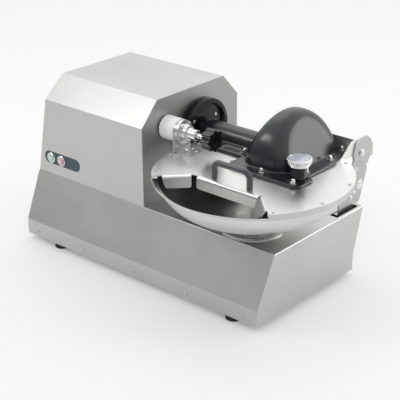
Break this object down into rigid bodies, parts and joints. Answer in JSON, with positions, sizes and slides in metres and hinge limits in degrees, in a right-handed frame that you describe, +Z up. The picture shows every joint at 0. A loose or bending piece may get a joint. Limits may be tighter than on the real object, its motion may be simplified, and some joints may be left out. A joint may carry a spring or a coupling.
{
  "type": "meat bowl cutter",
  "caption": "Bench bowl cutter with steel base, drive housing, turning bowl, hinged lid, black knife cover, sprung lid lock and thermometer.",
  "frame": {"origin": "Middle of the machine's plan at floor level, under the rubber feet.", "axes": "+X runs from the drive housing to the bowl, +Y from the operator to the rear, +Z up."},
  "size_m": [0.908, 0.5617, 0.448],
  "materials": {
    "steel_brushed": "satin brushed stainless sheet",
    "lid_steel": "bright satin stainless sheet",
    "bowl_steel": "spun stainless, satin",
    "blade_steel": "ground blade steel",
    "steel_polished": "machined steel",
    "steel_screw": "plain stainless fastener",
    "steel_painted": "enamel on steel and cast parts",
    "cast_grey": "machined casting",
    "aluminium_turned": "turned aluminium",
    "chrome_trim": "polished plating",
    "rubber_black": "moulded rubber",
    "plastic_white": "white acetal",
    "plastic_black": "black nylon",
    "handle_black": "fine-grained black coating",
    "knob_black": "glossy black phenolic",
    "collar_black": "glossy black",
    "cover_black": "satin black moulding",
    "panel_label": "slate blue label film",
    "button_green": "pale green push button",
    "button_red": "pale red push button",
    "gauge_glass": "clear gauge glass"
  },
  "bodies": {
    "base": {"base_shell": "steel_brushed", "bottom_tray": "steel_brushed", "lip_screws": "steel_screw", "rubber_feet": "rubber_black", "housing_shell": "steel_brushed", "housing_end_panel": "steel_brushed", "control_panel": "panel_label", "button_bezels": "chrome_trim", "button_switches": "plastic_black", "control_box": "steel_painted", "cable_gland": "plastic_black", "shaft_bearings": "steel_polished", "bearing_housing": "cast_grey", "shaft_collar": "collar_black", "collar_screws": "steel_screw", "drive_motor": "steel_painted", "drive_belt": "rubber_black", "bowl_seat_ring": "steel_polished", "spindle_bearings": "steel_polished", "spindle_housing": "cast_grey", "bowl_belt": "rubber_black", "bowl_gear_motor": "steel_painted", "hinge_brackets": "steel_brushed", "bracket_bolts": "steel_screw"},
    "motor_rotor": {"motor_shaft": "steel_polished", "motor_pulley": "cast_grey"},
    "knife_rotor": {"knife_shaft": "steel_polished", "shaft_pulley": "cast_grey", "knife_hub": "steel_polished", "knives": "blade_steel", "knife_spacers": "plastic_white", "knife_nut": "steel_polished"},
    "bowl_rotor": {"bowl": "bowl_steel", "bowl_spindle": "steel_polished", "bowl_pulley": "cast_grey"},
    "bowl_motor_rotor": {"bowl_motor_pulley": "cast_grey"},
    "start_button": {"start_button": "button_green"},
    "stop_button": {"stop_button": "button_red"},
    "lid": {"lid_plate": "lid_steel", "lid_rim_seal": "plastic_white", "lid_screws": "steel_screw", "lid_handle": "handle_black", "handle_screws": "steel_screw", "knife_cover": "cover_black", "cover_washers": "steel_screw", "cover_nuts": "chrome_trim", "thermometer_boss": "cover_black", "thermometer_case": "chrome_trim", "thermometer_glass": "gauge_glass", "lock_bracket": "lid_steel", "lock_bracket_screws": "steel_screw", "lock_barrel": "plastic_white", "lock_housing": "aluminium_turned", "lid_rear_frame": "lid_steel", "hinge_ears": "steel_brushed", "hinge_pins": "steel_polished"},
    "gauge_needle": {"thermometer_needle": "plastic_black"},
    "lock_plunger": {"lock_plunger": "steel_polished", "lock_knob": "knob_black"}
  },
  "joints": [
    {"name": "lid_hinge", "type": "hinge", "parent": "base", "child": "lid", "pos_m": [0.2145, 0.2305, 0.3195], "axis": [-1, 0, 0], "range_deg": [0, 85]},
    {"name": "knife_spin", "type": "hinge", "parent": "base", "child": "knife_rotor", "pos_m": [0, 0.086, 0.3325], "axis": [1, 0, 0], "continuous": true},
    {"name": "motor_spin", "type": "hinge", "parent": "base", "child": "motor_rotor", "pos_m": [-0.2, 0.086, 0.105], "axis": [1, 0, 0], "continuous": true},
    {"name": "bowl_spin", "type": "hinge", "parent": "base", "child": "bowl_rotor", "pos_m": [0.2145, -0.0425, 0.2], "axis": [0, 0, 1], "continuous": true},
    {"name": "bowl_motor_spin", "type": "hinge", "parent": "base", "child": "bowl_motor_rotor", "pos_m": [0.02, -0.0425, 0.07], "axis": [0, 0, 1], "continuous": true},
    {"name": "start_press", "type": "slide", "parent": "base", "child": "start_button", "axis": [0, 1, 0], "range_m": [0, 0.003], "stiffness_N_per_m": 300},
    {"name": "stop_press", "type": "slide", "parent": "base", "child": "stop_button", "axis": [0, 1, 0], "range_m": [0, 0.003], "stiffness_N_per_m": 300},
    {"name": "needle_turn", "type": "hinge", "parent": "lid", "child": "gauge_needle", "pos_m": [0.332, -0.022, 0.376], "axis": [0, 0, -1], "range_deg": [-120, 120]},
    {"name": "lock_pull", "type": "slide", "parent": "lid", "child": "lock_plunger", "axis": [1, 0, 0], "range_m": [0, 0.012], "stiffness_N_per_m": 400}
  ],
  "couplings": [
    {"joint": "motor_spin", "follows": "knife_spin", "ratio": 0.6},
    {"joint": "bowl_motor_spin", "follows": "bowl_spin", "ratio": 2.4}
  ]
}
